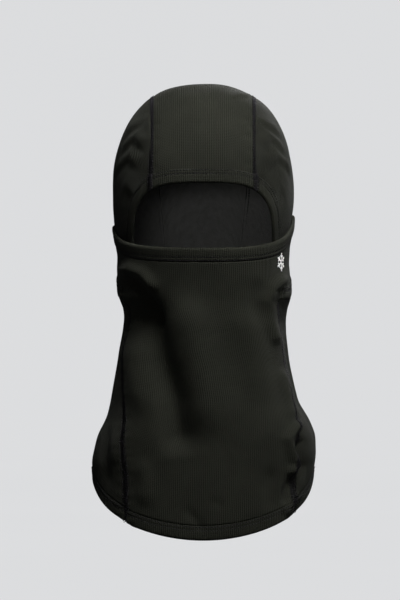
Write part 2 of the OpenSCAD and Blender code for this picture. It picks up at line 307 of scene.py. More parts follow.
def evenly(points, n, pitch):
    """The same line and its normals, at even distances of about pitch."""
    steps = np.linalg.norm(np.diff(points, axis=0), axis=1)
    length = np.concatenate([[0], np.cumsum(steps)])
    count = max(int(round(length[-1] / pitch)), 1)
    at = np.linspace(0, length[-1], count + 1)
    spread = np.stack([np.interp(at, length, points[:, k]) for k in range(3)], axis=1)
    turned = np.stack([np.interp(at, length, n[:, k]) for k in range(3)], axis=1)
    return spread, unit(turned)


def stitches(name, starts, ends, up, radius, material, arch=0.5):
    """One mesh of short threads. Each is thickest in its middle and dives into the cloth at both ends."""
    rings, sides = 5, 6
    t = np.linspace(0, 1, rings)
    bow = np.sin(t * math.pi)[None, :, None]
    centre = starts[:, None] * (1 - t)[None, :, None] + ends[:, None] * t[None, :, None]
    centre = centre + up[:, None] * (bow * 2 - 1) * radius * arch
    side = unit(np.cross(unit(ends - starts), up))
    turn = np.arange(sides) / sides * 2 * math.pi
    swell = (0.55 + 0.45 * bow[..., None]) * radius
    around = (np.cos(turn)[None, None, :, None] * side[:, None, None]
              + np.sin(turn)[None, None, :, None] * up[:, None, None])
    vertices = (centre[:, :, None] + around * swell).reshape(-1, 3)
    faces = []
    for s in range(len(starts)):
        base = s * rings * sides
        for r in range(rings - 1):
            for k in range(sides):
                a, b = base + r * sides + k, base + r * sides + (k + 1) % sides
                faces.append([a, a + sides, b + sides, b])
        faces.append([base + k for k in range(sides)])
        faces.append([base + (rings - 1) * sides + k for k in reversed(range(sides))])
    weave = np.repeat(np.arange(len(starts)), rings * sides)[:, None] * np.array([[1.0, 0, 0]])
    return make_mesh(name, vertices, faces, [material], weave=weave)


def join(name, pieces):
    """One object from several meshes."""
    bpy.ops.object.select_all(action="DESELECT")
    for piece in pieces:
        piece.select_set(True)
    bpy.context.view_layer.objects.active = pieces[0]
    bpy.ops.object.join()
    pieces[0].name = name
    return pieces[0]


def dressed(piece, slot, *nodes):
    """Hides the CAD nodes that a piece replaces, and gives the piece back. The slot, the finish that it
    takes, is not used.
    """
    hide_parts(*nodes)
    return piece


def stitch_rows(name, lines, material, pitch=2.8 * MM):
    """Rows of running stitches along lines of (points, normals)."""
    starts, ends, ups = [], [], []
    for points, n in lines:
        p, m = evenly(points, n, pitch)
        gap = (p[1:] - p[:-1]) * 0.1
        starts.append(p[:-1] + gap)
        ends.append(p[1:] - gap)
        ups.append(m[:-1])
    return stitches(name, np.concatenate(starts), np.concatenate(ends), np.concatenate(ups),
                    THREAD_RADIUS, material)


def flatlock(name, points, n, material, width=SEAM, pitch=1.6 * MM):
    """A flatlock seam: slanted threads laid side by side across the joint, and a row along each side."""
    p, m = evenly(points, n, pitch)
    lead = unit(np.gradient(p, axis=0))
    slant = np.cross(lead, m) * width / 2 + lead * pitch * 0.42
    parts = [stitches(name, p - slant, p + slant, m, THREAD_RADIUS, material, arch=0.9)]
    middle, up = evenly(points, n, pitch * 1.7)
    across = unit(np.cross(np.gradient(middle, axis=0), up)) * width
    for edge in (-0.5, 0.5):
        row = middle + across * edge
        gap = (row[1:] - row[:-1]) * 0.08
        parts.append(stitches(name, row[:-1] + gap, row[1:] - gap, up[:-1], THREAD_RADIUS, material))
    return join(name, parts)


# ---------- materials ----------

class Nodes:
    """Short calls for building a node material."""

    def __init__(self, name):
        self.material = bpy.data.materials.new(name)
        self.material.use_nodes = True
        self.tree = self.material.node_tree
        self.shader = self.tree.nodes["Principled BSDF"]

    def add(self, kind, **values):
        node = self.tree.nodes.new(kind)
        for key, value in values.items():
            setattr(node, key, value)
        return node

    def link(self, a, b):
        self.tree.links.new(a, b)

    def math(self, operation, a, b=None, c=None):
        node = self.add("ShaderNodeMath", operation=operation)
        for socket, value in zip(node.inputs, (a, b, c)):
            if value is None:
                continue
            if isinstance(value, (int, float)):
                socket.default_value = value
            else:
                self.link(value, socket)
        return node.outputs[0]

    def weave(self):
        return self.add("ShaderNodeAttribute", attribute_name="weave").outputs["Vector"]

    def noise(self, vector, scale, detail=3.0, roughness=0.55):
        node = self.add("ShaderNodeTexNoise")
        node.inputs["Scale"].default_value = scale
        node.inputs["Detail"].default_value = detail
        node.inputs["Roughness"].default_value = roughness
        self.link(vector, node.inputs["Vector"])
        return node.outputs["Fac"]

    def ramp(self, value, *stops):
        node = self.add("ShaderNodeValToRGB")
        elements = node.color_ramp.elements
        while len(elements) < len(stops):
            elements.new(0.5)
        for element, (place, colour) in zip(elements, stops):
            element.position = place
            element.color = (*colour, 1)
        self.link(value, node.inputs["Fac"])
        return node.outputs["Color"]

    def bump(self, height, strength, distance):
        node = self.add("ShaderNodeBump")
        node.inputs["Strength"].default_value = strength
        node.inputs["Distance"].default_value = distance
        self.link(height, node.inputs["Height"])
        self.link(node.outputs["Normal"], self.shader.inputs["Normal"])

    def set(self, **values):
        for key, value in values.items():
            self.shader.inputs[key.replace("_", " ")].default_value = value


WALE = 1.9 * MM                             # distance between two columns of knit loops
COURSE = 1.5 * MM                           # distance between two rows of knit loops


def knit(name, dark, light, sheen):
    """The face of the knit: columns of small slanted loops, with painted shade in the grooves between the
    columns, and a little uneven in colour.
    """
    m = Nodes(name)
    place = m.weave()
    split = m.add("ShaderNodeSeparateXYZ")
    m.link(place, split.inputs[0])
    wobble = m.math("MULTIPLY", m.noise(place, 60), 0.35)
    column = m.math("ADD", m.math("MULTIPLY", split.outputs["X"], 1 / WALE), wobble)
    triangle = m.math("PINGPONG", column, 0.5)
    wale = m.math("SMOOTH_MIN", m.math("MULTIPLY", triangle, 2.0), 0.8, 0.3)
    slant = m.math("MULTIPLY", triangle, 0.9)
    row = m.math("ADD", m.math("MULTIPLY", split.outputs["Y"], 1 / COURSE), slant)
    loop = m.math("MULTIPLY", m.math("PINGPONG", row, 0.5), 2.0)
    height = m.math("ADD", wale, m.math("MULTIPLY", loop, 0.35))
    fuzz = m.noise(place, 2600, 2.0)
    height = m.math("ADD", height, m.math("MULTIPLY", fuzz, 0.35))
    m.bump(height, 0.85, 0.5 * MM)
    patch = m.noise(place, 22, 4.0)
    # Colour: painted shade darkens the grooves between the columns of loops, and slow patches vary the tone
    # at random.
    groove_shade_and_tone = m.math("ADD", m.math("MULTIPLY", wale, 0.45), m.math("MULTIPLY", patch, 0.55))
    colour = m.ramp(groove_shade_and_tone, (0.15, dark), (0.85, light))
    m.link(colour, m.shader.inputs["Base Color"])
    m.set(Roughness=0.85, Sheen_Weight=sheen, Sheen_Roughness=0.4, Specular_IOR_Level=0.06)
    m.shader.inputs["Sheen Tint"].default_value = (0.75, 0.78, 0.7, 1)
    return m.material


def brushed(name, dark, light):
    """The brushed inner face: short matted nap with no clear loops."""
    m = Nodes(name)
    place = m.weave()
    nap = m.noise(place, 900, 5.0, 0.7)
    tuft = m.noise(place, 160, 3.0, 0.6)
    height = m.math("ADD", nap, m.math("MULTIPLY", tuft, 1.2))
    m.bump(height, 0.9, 0.9 * MM)
    colour = m.ramp(m.math("ADD", m.math("MULTIPLY", nap, 0.5), m.math("MULTIPLY", tuft, 0.5)),
                    (0.3, dark), (0.7, light))
    m.link(colour, m.shader.inputs["Base Color"])
    m.set(Roughness=0.95, Sheen_Weight=0.1, Sheen_Roughness=0.6, Specular_IOR_Level=0.1)
    return m.material


def twisted(name, dark, light):
    """Sewing thread: a faint twist along each stitch."""
    m = Nodes(name)
    place = m.add("ShaderNodeTexCoord").outputs["Object"]
    twist = m.noise(place, 3000, 2.0)
    m.bump(twist, 0.5, 0.2 * MM)
    colour = m.ramp(m.noise(m.weave(), 0.37, 1.0), (0.3, dark), (0.7, light))
    m.link(colour, m.shader.inputs["Base Color"])
    m.set(Roughness=0.6, Specular_IOR_Level=0.12)
    return m.material


def printed(name, colour_low, colour_high):
    """A thin heat-pressed print, with the knit just showing through it."""
    m = Nodes(name)
    place = m.add("ShaderNodeTexCoord").outputs["Object"]
    m.bump(m.noise(place, 900, 3.0), 0.25, 0.2 * MM)
    colour = m.ramp(m.noise(place, 500, 3.0), (0.25, colour_low), (0.6, colour_high))
    m.link(colour, m.shader.inputs["Base Color"])
    m.set(Roughness=0.55, Specular_IOR_Level=0.35)
    return m.material


MAIN = knit("main_knit", (0.0050, 0.0053, 0.0038), (0.0175, 0.0183, 0.0136), 0.02)
# A second copy of the same knit, painted darker: painted shade on the hood's side panels and on the back
# panel and its hem.
SHADED_KNIT = knit("side_knit", (0.0044, 0.0046, 0.0034), (0.0145, 0.0151, 0.0113), 0.02)
NAP = brushed("brushed_inside", (0.19, 0.19, 0.18), (0.31, 0.31, 0.30))
THREAD = twisted("seam_thread", (0.0022, 0.0018, 0.0028), (0.0060, 0.0052, 0.0072))
PRINT = printed("white_print", (0.62, 0.62, 0.60), (0.86, 0.86, 0.84))
LABEL = printed("woven_label", (0.50, 0.50, 0.48), (0.66, 0.66, 0.63))


# ---------- hood ----------

CROWN_HALF = 46 * MM                        # half the crown panel's width over the head
NAPE_HALF = 33 * MM                         # and at the nape
LAP = 0.3 * MM                              # how far a side panel reaches in under the crown panel
OPENING_HALF = 62 * MM                      # half the face opening, to the edge of its hem
HEM_SIDE = 7 * MM                           # that hem's width at its sides, seen from the front
UNDER_HEM = 0.75                            # where the hood's panels start under that hem, from its edge
OVER = 0.72                                 # part of the crown panel above the centre of the head
FRONT_PART = 0.36                           # part of a side panel's lower edge that faces the front
ARCH_PART = 0.62                            # part of that which follows the arch of the face opening
SIDE_LENGTH = 90 * MM                       # of a side panel, from its crown seam down
TEMPLE_CREASES = ((70, -30, 1.0), (56, -42, 1.4), (38, -24, 1.1), (12, -46, 0.9))


def arch_z(x, grow):
    """Height of the face opening at x: grow 0 is its edge, 1 the inner end of its hem."""
    return MASK_TOP + (BROW - MASK_TOP + HEM * grow) * rounded(x / (OPENING_HALF + HEM_SIDE * grow), ARCH)


def crown_half(v):
    """Half the crown panel's width, at a part v of the way from the brow to the nape."""
    return mix(CROWN_HALF, NAPE_HALF, ease((v - 0.45) / 0.55))


def crown_point(x, v, grow):
    """Points of the crown at x, and at a part v of the way from the brow over the head to the nape."""
    m = rounded(x / HOOD_HALF)
    start = np.degrees(np.arcsin((arch_z(x, grow) / (CROWN * m)) ** (FULL / 2)))
    a = np.radians(mix(start, 180, np.minimum(v / OVER, 1)))
    y = -np.sign(np.cos(a)) * HOOD_DEPTH * m * np.abs(np.cos(a)) ** (2 / FULL)
    z = CROWN * m * np.abs(np.sin(a)) ** (2 / FULL)
    low = np.maximum(v - OVER, 0) / (1 - OVER) * HOOD_FOOT
    size = hood_size(low)
    over = np.stack(np.broadcast_arrays(x, y, z), axis=-1)
    down = np.stack(np.broadcast_arrays(x, size[3] * rounded(x / size[0]), low), axis=-1)
    return np.where((v < OVER)[..., None], over, down)


def hood_front(x, z):
    """Points on the front of the hood, found as they are seen from the front."""
    size = hood_size(z)
    half = np.where(x > 0, size[0], size[1])
    return np.stack(np.broadcast_arrays(x, -size[2] * rounded(x / half), z), axis=-1)


def hood_normal(points):
    """The way out of the bare hood."""
    reach = np.array([HOOD_HALF, HOOD_DEPTH, CROWN])
    share = np.abs(points) / reach
    share[..., 2] = np.where(points[..., 2] > 0, share[..., 2], 0)
    return unit(np.sign(points) * share ** (FULL - 1) / reach)


def side_foot(u):
    """Lower edge of a side panel: down the hem of the face opening, then back along the jaw."""
    t = u / FRONT_PART
    edge = OPENING_HALF + HEM_SIDE * UNDER_HEM
    x = mix(CROWN_HALF, edge, ease(t * 1.6))
    below_arch = np.clip((t - ARCH_PART) / (1 - ARCH_PART), 0, 1)
    z = np.where(t < ARCH_PART, arch_z(np.minimum(x, edge - 0.05 * MM), UNDER_HEM),
                 mix(MASK_TOP + 12 * MM, HOOD_FOOT, below_arch))
    size = hood_size(np.array(JAW))
    phi_front = phi_at(np.array(edge), size)
    phi_back = 180 - np.degrees(np.arctan2(NAPE_HALF, size[3] * rounded(NAPE_HALF / size[0])))
    behind = np.clip((u - FRONT_PART) / (1 - FRONT_PART), 0, 1)
    back = ring(mix(phi_front, phi_back, behind), size, HOOD_FOOT)
    return np.where((u < FRONT_PART)[..., None], hood_front(np.minimum(x, edge), z), back)


def side_point(u, v):
    """Points of the left side panel: u along its edges from the brow to the nape, v up to the crown."""
    foot = side_foot(u)
    seam = crown_point(crown_half(u) - LAP, u, UNDER_HEM)
    t = 1 - (1 - v) ** 1.5
    phi_foot = np.degrees(np.arctan2(foot[..., 0], -foot[..., 1]))
    phi_seam = np.degrees(np.arctan2(seam[..., 0], -seam[..., 1]))
    z = mix(foot[..., 2], seam[..., 2], t)
    return ring(mix(phi_foot, phi_seam, t), hood_size(z), z)


def lattice(nu, nv):
    """Parts u and v of the way across a grid of nu by nv cells."""
    return np.meshgrid(np.linspace(0, 1, nu + 1), np.linspace(0, 1, nv + 1), indexing="ij")


def seam_dent(edge):
    """The cloth dips where it is drawn into a seam, at a distance edge from it."""
    return -0.7 * MM * np.exp(-(edge / (2.6 * MM)) ** 2)


def crown_puckers(x, y, z):
    """Short creases that run into the crown seams over the brow."""
    total = 0
    for k in range(9):
        at = 88 - 9.5 * k + 3 * math.sin(5 * k)
        reach = 12 + 6 * math.sin(3 * k + 1)
        total = total + fold(x, z, [(47, at), (47 - reach, at - 3)], 2.2, -0.9, 0.5)
        total = total + fold(x, z, [(-47, at - 4), (-47 + reach * 0.7, at - 6)], 2.2, -0.7, 0.5)
    total = total + fold(x, z, [(50, 92), (30, 95), (14, 93)], 3, -1.4, 0.4)
    total = total + fold(x, z, [(50, 88), (34, 89), (22, 86)], 2.6, 1.2, 0.4)
    return total * ease(-y / (20 * MM))


def side_wrinkles(y, z, sign):
    """Creases that run back over a side panel from the temple."""
    total = ripple(y, z, 5 + sign, 48, 1.4)
    for k, (top, reach, height) in enumerate(TEMPLE_CREASES):
        ridge = [(-78, top - 12), (-62, top - 2), (reach, top - 14 - 4 * k)]
        valley = [(-80, top - 22), (-60, top - 11), (reach, top - 24)]
        total = total + fold(y, z, ridge, 5, height)
        total = total + fold(y, z, valley, 4.2, -height)
    return total


def make_crown():
    """The crown's cloth, drawn into its seams."""
    u, v = lattice(56, 200)
    points = crown_point((2 * u - 1) * crown_half(v), v, UNDER_HEM)
    x, y, z = np.moveaxis(points, -1, 0)
    edge = (1 - np.abs(2 * u - 1)) * CROWN_HALF
    push = seam_dent(edge) + ripple(x, y + z, 3, 55, 1.0) * ease(edge / (20 * MM))
    push = push + crown_puckers(x, y, z) * ease(edge / (4 * MM))
    cloth = Cloth(points, push, hood_normal(points))
    return cloth, dressed(shell("crown_cloth", cloth, MAIN, NAP), "main_knit", "crown_panel")


def make_side(sign, name):
    """One side panel; the right one mirrors the left, but has its own ripples."""
    u, v = lattice(150, 60)
    points = side_point(u, v) * np.array([sign, 1, 1])
    if sign < 0:
        points = points[::-1]
    edge = (1 - v) * SIDE_LENGTH
    wrinkles = side_wrinkles(points[..., 1], points[..., 2], sign)
    cloth = Cloth(points, seam_dent(edge) + wrinkles * ease(edge / (12 * MM)), hood_normal(points))
    # The side panel takes the knit painted darker, as painted shade.
    return dressed(shell(f"side_cloth_{name}", cloth, SHADED_KNIT, NAP), "side_knit", f"hood_side_{name}")


def brow_line(sign):
    """The stretch of a crown seam that crosses the hem, from the edge inwards."""
    grow = np.linspace(0.05, 0.98, 30)
    points = crown_point(np.full(30, CROWN_HALF * sign), np.zeros(30), grow)
    n = unit(points / np.array([HOOD_HALF, HOOD_DEPTH, CROWN]) ** 2)
    return points + n * 0.5 * MM, n


def make_crown_seam(crown, sign, name):
    """The flatlock seam down one side of the crown, from the edge of the face opening to the nape."""
    brow, brow_n = brow_line(sign)
    points, n = crown.at(1.0 if sign > 0 else 0.0, np.linspace(0, 1, 500))
    points = np.concatenate([brow, points])
    n = np.concatenate([brow_n, n])
    seam = flatlock(f"crown_flatlock_{name}", points + n * 0.5 * MM, n, THREAD)
    return dressed(seam, "seam_thread", f"crown_seam_{name}")


def make_hood():
    """All pieces of the hood, in the order: crown, then each side and its seam, hem and its stitches."""
    crown, crown_piece = make_crown()
    made = [crown_piece]
    for sign, name in SIDES:
        made += [make_side(sign, name), make_crown_seam(crown, sign, name)]
    return made + make_opening_hem()


# ---------- hems ----------

def opening_point(u, v):
    """The hem of the face opening: u from one jaw end over the brow to the other, v out from the edge."""
    leg = 0.18
    turn = np.radians(np.clip((u - leg) / (1 - 2 * leg), 0, 1) * 180)
    low = np.maximum(np.maximum(leg - u, u - 1 + leg), 0) / leg
    x = -np.sign(np.cos(turn)) * (OPENING_HALF + HEM_SIDE * v) * np.abs(np.cos(turn)) ** (2 / ARCH)
    arch = (BROW - MASK_TOP + HEM * v) * np.abs(np.sin(turn)) ** (2 / ARCH)
    return hood_front(x, MASK_TOP + arch + low * (JAW - MASK_TOP))


def hem_edge(d):
    """The rounding of a folded edge: 0 at the edge itself, and 1 from EDGE_ROUND inwards."""
    return np.sqrt(np.clip(1 - (1 - np.clip(d / EDGE_ROUND, 0, 1)) ** 2, 0, 1))


def hem_profile(d, width=HEM):
    """How far the outer face of a hem stands out at a distance d from its edge."""
    swell = 0.55 * MM * ease(d / (2.5 * MM)) * ease((width - d) / (2.2 * MM))
    dents = sum(0.55 * MM * np.exp(-((d - width + row) / (0.7 * MM)) ** 2) for row in NEEDLES)
    return swell - dents + (hem_edge(d) - 1) * 1.3 * MM


def hem_rows():
    """Parts of a hem's width, close together near its edge."""
    return np.linspace(0, 1, HEM_STEPS + 1) ** 1.35


def hem_lines(cloth, width, low, first=0.0, last=1.0, inset=0.5 * MM, lift=0.15 * MM):
    """The two rows of stitches along the hem at the low or the high edge of a cloth."""
    lines = []
    rows = cloth.points.shape[1] - 1
    for row in NEEDLES:
        place = np.interp(width - row - inset, hem_rows() * width, np.arange(HEM_STEPS + 1)) / rows
        points, n = cloth.at(np.linspace(first, last, 900), place if low else 1 - place)
        lines.append((points + n * lift, n))
    return lines


def make_opening_hem():
    """The turned hem of the face opening, with its coverstitch."""
    u, v = np.meshgrid(np.linspace(0, 1, 241), hem_rows(), indexing="ij")
    cloth = Cloth(opening_point(u, v))
    hem = shell("opening_hem_cloth", cloth, MAIN, MAIN, out=hem_profile(v * HEM),
                thick=(1 + hem_edge(v * HEM)) * CLOTH)
    lines = hem_lines(cloth, HEM, True, 0.002, 0.998, inset=0, lift=0.12 * MM)
    rows = stitch_rows("opening_stitches", lines, THREAD)
    return [dressed(hem, "main_knit", "opening_hem"), dressed(rows, "seam_thread", "opening_coverstitch")]


# ---------- mask and drape: the front is one piece of cloth, with wings round the cheeks ----------

WING_PHI = 106.0                            # direction of a wing's rear end
WING_LOW = JAW + 1 * MM
WING_RISE = 14 * MM                         # how much higher a wing's foot is at its rear end
WING_COLUMNS = 36
PANEL_COLUMNS = 100
PANEL_ROWS = 110
MASK_ROWS = 24


def mask_top(phi):
    """Height of the mask's top edge, a little higher on the wearer's left cheek."""
    rise = np.where(phi > 0, 30 * MM, 21 * MM)
    return MASK_TOP + rise * (1 - np.cos(np.radians(np.minimum(np.abs(phi), 90)))) ** 1.3


def wing_foot(phi):
    """Height of a wing's lower edge, which rises towards the ear."""
    return WING_LOW + WING_RISE * ease((np.abs(phi) - 66) / (WING_PHI - 66))


def hem_z(phi):
    """Height of the bottom edge of the drape: low at the front and back, high over the shoulders."""
    c = np.cos(np.radians(phi))
    drop = 0.95 * mix(SHOULDER - BACK_HEM, SHOULDER - BIB, ease(c + 0.5))
    return SHOULDER - drop * np.sqrt(c ** 2 * 0.92 + 0.08)


def front_size(z):
    """The front cloth's section: the mask's above the jaw, the drape's below it."""
    t = ease((z - (JAW - 24 * MM)) / (30 * MM))
    return tuple(mix(a, b, t) for a, b in zip(drape_size(z), mask_size(z)))


# The front cloth's folds as they are seen from the front: path, width, depth and fade of each
FRONT_FOLDS = (
    # from the right cheek into the broad valley beside the chin
    ([(-78, -67), (-65, -65), (-55, -69), (-47, -77), (-42, -88)], 5.5, 4.2, 0.22),
    ([(-74, -78), (-65, -76), (-57, -80), (-50, -89), (-44, -103), (-40, -120)], 4.6, -5.5, 0.2),
    ([(-72, -84), (-67, -92), (-66, -99)], 3, 2.0, 0.3),
    ([(-54, -86), (-47, -112), (-39, -144), (-26, -180), (-19, -232)], 13, -12, 0.16),
    ([(-30, -78), (-12, -110), (-3, -150), (2, -190), (4, -222)], 15, 5.5, 0.25),
    ([(-66, -118), (-62, -152), (-54, -196)], 9, 2.6, 0.3),
    # round the left cheek and down that side
    ([(78, -76), (70, -75), (61, -82), (57, -94), (60, -114), (66, -134)], 5, 4.2, 0.15),
    ([(73, -92), (72, -110), (78, -140), (86, -160)], 4.5, -2.6, 0.3),
    ([(46, -70), (46, -95), (52, -120)], 9, -1.8, 0.3),
    ([(34, -84), (42, -124), (54, -170), (60, -205)], 11, 2.0, 0.3),
    ([(20, -95), (26, -140), (34, -195)], 11, -1.8, 0.3),
    ([(68, -150), (75, -176), (79, -200)], 5, 3.0, 0.25),
    # gathers at the left side seam
    ([(86, -196), (80, -206), (74, -214), (78, -226), (82, -236), (74, -250)], 4, 4.6, 0.15),
    ([(90, -214), (83, -222), (88, -238), (80, -252)], 3.6, -3.8, 0.2),
    ([(80, -244), (74, -258), (72, -274)], 3.6, -3.6, 0.25),
    ([(86, -262), (78, -270), (70, -282)], 4, 2.6, 0.25),
    # the right lobe, and slack over the bottom hem
    ([(-84, -198), (-87, -232), (-82, -262)], 4, -2.6, 0.3),
    ([(-76, -206), (-78, -240)], 5, 2.2, 0.4),
    ([(62, -236), (58, -256), (60, -280)], 6, -2.2, 0.3),
    ([(-18, -272), (-8, -282), (2, -296)], 4, -1.5, 0.35),
    ([(2, -266), (20, -273)], 4, -0.9, 0.35),
    ([(-56, -228), (-50, -252), (-52, -276)], 8, 2.4, 0.3),
)


def front_folds(x, z):
    """The folds of the front cloth, and its slow ripples."""
    return sum(fold(x, z, *shape) for shape in FRONT_FOLDS) + ripple(x, z, 11, 70, 0.9)


def back_folds(phi, z):
    """Slack vertical folds round the back and over the shoulders, by direction."""
    q = phi * 1.5 * MM
    total = ripple(q, z, 21, 60, 1.2)
    for k in range(7):
        start = 118 + 34 * k
        valley = [(start, -112), (start + 4, -170), (start - 3, -236)]
        ridge = [(start + 16, -110), (start + 18, -180), (start + 15, -244)]
        total = total + fold(q, z, valley, 8, -2.4, 0.35)
        total = total + fold(q, z, ridge, 9, 2.2, 0.35)
    return total


class Layer:
    """A surface round the body, found by direction and height: a section pushed out by its folds."""

    def __init__(self, size, folds):
        self.size = size
        self.folds = folds

    def bare(self, phi, z):
        return ring(phi, self.size(z), z)

    def point(self, phi, z):
        p = self.bare(phi, z)
        turned = self.bare(phi + 0.3, z) - self.bare(phi - 0.3, z)
        out = unit(np.stack([turned[..., 1], -turned[..., 0], 0 * turned[..., 0]], axis=-1))
        return p + out * self.folds(phi, p[..., 0], z)[..., None]

    def place(self, phi, z):
        """Points and outward normals."""
        phi, z = np.broadcast_arrays(phi, z)
        step = 0.4 * MM
        across = self.point(phi + 0.25, z) - self.point(phi - 0.25, z)
        up = self.point(phi, z + step) - self.point(phi, z - step)
        return self.point(phi, z), unit(np.cross(across, up))


def drape_folds(phi, x, z):
    """Front folds ahead of the side seams, back folds behind them, and neither at the seams."""
    turn = np.where(phi > 180, 360 - phi, np.abs(phi))
    ahead = 1 - ease((turn - 72) / 30)
    behind = ease((turn - 62) / 34) * ease((JAW - 8 * MM - z) / (26 * MM))
    side = ease((turn - 84) / 30) * (1 - ease((turn - 125) / 35))
    hug = -3.2 * MM * side * ease((z - JAW + 26 * MM) / (20 * MM))
    gap = np.minimum(np.abs(phi - seam_phi(z, 1)), np.abs((phi + 180) % 360 - 180 - seam_phi(z, -1)))
    gap = np.where(z < JAW, gap * 1.6 * MM, 100 * MM)
    beside = np.exp(-((gap - 5 * MM) / (4 * MM)) ** 2)
    pucker = 0.22 * MM * np.sin(z / (1.35 * MM) + 2 * np.sin(z / (9 * MM))) * beside
    return front_folds(x, z) * ahead + back_folds(phi % 360, z) * behind + hug + pucker + seam_dent(gap)


def seam_phi(z, side):
    """Direction of a side seam of the drape; side is 1 on the wearer's left and -1 on the right."""
    left = smooth(z, (-310, 49), (-240, 50), (-212, 54), (-183, 61), (-150, 62), (-119, 57), (-98, 48),
                  (-40, 46))
    right = smooth(z, (-310, 39), (-243, 41), (-202, 45), (-163, 53), (-137, 58), (-98, 56), (-40, 50))
    return np.where(side > 0, left, -right)


drape = Layer(front_size, drape_folds)


def front_grid():
    """Directions and heights of the front cloth's points, from the bottom edge up.

    The column number is 0 to 1 from seam to seam, and runs on to -1 and 2 at the ends of the wings."""
    wing = np.linspace(0, 1, WING_COLUMNS + 1)
    column = np.concatenate([wing[:-1] - 1, np.linspace(0, 1, PANEL_COLUMNS + 1), 1 + wing[1:]])[:, None]

    def direction(z):
        low, high = seam_phi(z, -1), seam_phi(z, 1)
        panel = mix(low, high, np.clip(column, 0, 1))
        left = mix(low, -WING_PHI, np.clip(-column, 0, 1))
        right = mix(high, WING_PHI, np.clip(column - 1, 0, 1))
        return np.where(column < 0, left, np.where(column > 1, right, panel))

    at_mask = direction(np.array([[MASK_TOP - 10 * MM]]))
    foot = hem_z(direction(np.array([[BIB + 20 * MM]])))
    jaw = wing_foot(at_mask)
    top = mask_top(at_mask)
    hem = hem_rows()[None, :]
    z = np.concatenate([
        foot + BOTTOM_HEM * hem,
        mix(foot + BOTTOM_HEM, jaw, np.linspace(0, 1, PANEL_ROWS + 1)[None, 1:]),
        mix(jaw, top - HEM, np.linspace(0, 1, MASK_ROWS + 1)[None, 1:]),
        top - HEM * hem[:, ::-1][:, 1:],
    ], axis=1)
    return column, direction(z), z


def make_front():
    """The mask and front panel in one cloth, with the hems at its top and bottom edges."""
    column, phi, z = front_grid()
    cloth = Cloth(drape.point(phi, z))
    rows = z.shape[1]
    top = rows - HEM_STEPS - 1
    jaw_row = top - MASK_ROWS
    wing = (column[:-1, 0] < -1e-9) | (column[1:, 0] > 1 + 1e-9)
    keep = np.ones((len(column) - 1, rows - 1), bool)
    keep[wing, :jaw_row] = False
    low_out = hem_profile(hem_rows() * BOTTOM_HEM, BOTTOM_HEM)[None, :]
    main = dressed(shell("mask_and_front_cloth", cloth, MAIN, NAP, keep, (HEM_STEPS, top + 1)),
                   "main_knit", "mask_panel", "front_panel")
    band = dressed(shell("mask_hem_cloth", cloth, MAIN, MAIN, keep, (top, rows),
                         out=hem_profile(hem_rows() * HEM)[None, ::-1], thick=2 * CLOTH),
                   "main_knit", "mask_top_hem")
    low = dressed(shell("front_hem_cloth", cloth, MAIN, MAIN, keep, (0, HEM_STEPS + 1),
                        out=low_out, thick=2 * CLOTH),
                  "main_knit", "bottom_hem_front")
    rows_of_mask = dressed(stitch_rows("mask_stitches", hem_lines(cloth, HEM, False, 0.004, 0.996), THREAD),
                           "seam_thread", "mask_coverstitch")
    first = WING_COLUMNS / (len(column) - 1)
    return main, band, low, rows_of_mask, hem_lines(cloth, BOTTOM_HEM, True, first, 1 - first)


def make_back():
    """The back panel from side seam to side seam, with its bottom hem."""
    u = np.linspace(0, 1, 221)[:, None]
    upper = np.linspace(0, 1, 101)[None, 1:]

    def direction(z):
        return mix(seam_phi(z, 1), 360 + seam_phi(z, -1), u)

    foot = hem_z(direction(np.array([[BACK_HEM + 60 * MM]])))
    top = JAW + 5 * MM
    z = np.concatenate([foot + BOTTOM_HEM * hem_rows()[None, :],
                        mix(foot + BOTTOM_HEM, top, upper)], axis=1)
    cloth = Cloth(drape.point(direction(z), z))
    # The back panel and its hem take the knit painted darker, as painted shade.
    main = dressed(shell("back_cloth", cloth, SHADED_KNIT, NAP, rows=(HEM_STEPS, z.shape[1])),
                   "side_knit", "back_panel")
    low = dressed(shell("back_hem_cloth", cloth, SHADED_KNIT, SHADED_KNIT, rows=(0, HEM_STEPS + 1), thick=2 * CLOTH,
                        out=hem_profile(hem_rows() * BOTTOM_HEM, BOTTOM_HEM)[None, :]),
                  "side_knit", "bottom_hem_back")
    return main, low, hem_lines(cloth, BOTTOM_HEM, True)


def make_wing_hem(side, name):
    """The turned hem under a wing, doubled on the outside, with its stitches and the tack that ends it."""
    start = seam_phi(np.array(JAW), side) * side + 2
    u, v = np.meshgrid(np.linspace(0, 1, 61), hem_rows(), indexing="ij")
    phi = side * mix(start, WING_PHI, u if side > 0 else 1 - u)
    z = wing_foot(phi) - 0.4 * MM + HEM * v
    points, n = drape.place(phi, z)
    cloth = Cloth(points + n * 0.3 * MM)
    band = dressed(shell(f"wing_hem_cloth_{name}", cloth, MAIN, MAIN, out=hem_profile(v * HEM)),
                   "main_knit", f"wing_hem_{name}")
    rows = dressed(stitch_rows(f"wing_stitches_{name}", hem_lines(cloth, HEM, True, 0.01, 0.97), THREAD),
                   "seam_thread", f"wing_coverstitch_{name}")
    height = np.linspace(-58, -46, 18) * MM
    left, n = drape.place(side * (WING_PHI - 3.2), height)
    right, _ = drape.place(side * (WING_PHI - 0.8), height)
    lift = n * 0.4 * MM
    tack = dressed(stitches(f"tack_{name}", left + lift, right + lift, n, THREAD_RADIUS, THREAD),
                   "seam_thread", f"bar_tack_{name}")
    return band, rows, tack


